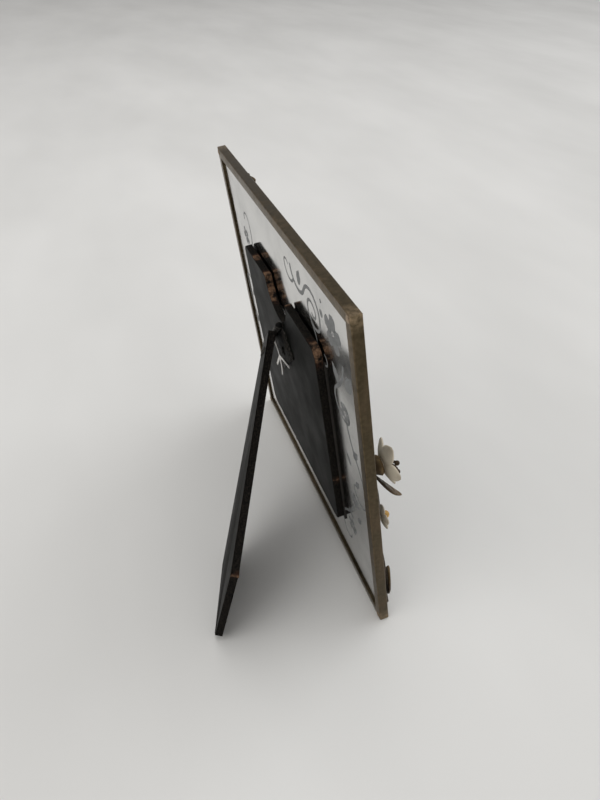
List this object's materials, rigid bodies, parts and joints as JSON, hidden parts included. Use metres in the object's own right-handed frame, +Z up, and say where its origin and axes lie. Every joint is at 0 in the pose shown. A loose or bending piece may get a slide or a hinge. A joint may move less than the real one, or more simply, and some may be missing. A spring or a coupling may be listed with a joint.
{
  "type": "photo frame",
  "caption": "Square tabletop photo frame with a mirror-bordered glass plate in a bronze rim, cast flowers, and a black back board with a folding diagonal easel strut.",
  "frame": {"origin": "on the table, at the middle of the standing frame's footprint", "axes": "+Z up, -Y towards the viewer of the picture, +X to the viewer's right along the frame's width"},
  "size_m": [0.16, 0.0726, 0.1498],
  "materials": {
    "rim_bronze": "dark bronze-plated channel, smooth, a little glossy and rubbed at the corners",
    "solder": "dull light brown solder",
    "clear_glass": "clear float glass",
    "mirror_film": "bright silvering with matt etched scrolls and flowers",
    "grey_card": "dark grey-brown card strip",
    "black_board": "black faced hardboard, brown fibre where the edges are worn",
    "black_steel": "black painted sheet steel",
    "bright_steel": "bright plain steel",
    "dark_bronze": "cast dark bronze with darker hollows",
    "cream_enamel": "cream enamel, glossy, thin at the edges",
    "gold_bead": "gold-plated bead",
    "picture_paper": null
  },
  "bodies": {
    "frame": {"rim_top": "rim_bronze", "rim_bottom": "rim_bronze", "rim_left": "rim_bronze", "rim_right": "rim_bronze", "corner_solder": "solder", "glass_plate": "clear_glass", "mirror_film": "mirror_film", "strip_left": "grey_card", "strip_right": "grey_card", "strip_bottom": "grey_card", "back_board": "black_board", "hinge_board_leaf": "black_steel", "hinge_pin": "black_steel", "leaf_rivets": "black_steel", "star_rivet": "bright_steel", "vine_stem": "dark_bronze", "bloom_calyx": "dark_bronze", "bloom_petals": "cream_enamel", "bloom_stamens": "dark_bronze", "bloom_leaf": "dark_bronze", "small_bloom_petals": "cream_enamel", "small_bloom_bead": "gold_bead", "foot_leaf": "dark_bronze", "spray_stem": "dark_bronze", "spray_leaves": "dark_bronze", "spray_petals": "cream_enamel", "spray_bead": "gold_bead"},
    "print": {"picture_print": "picture_paper"},
    "strut": {"hinge_strut_leaf": "black_steel", "strut_rivets": "black_steel", "easel_strut": "black_board"}
  },
  "joints": [
    {"name": "strut_hinge", "type": "hinge", "parent": "frame", "child": "strut", "pos_m": [0.007, -0.0124, 0.09327], "axis": [0.749, -0.1015, -0.6548], "range_deg": [-27.75, 0]},
    {"name": "print_slide", "type": "slide", "parent": "frame", "child": "print", "axis": [0, 0.1531, 0.9882], "range_m": [0, 0.04]}
  ]
}
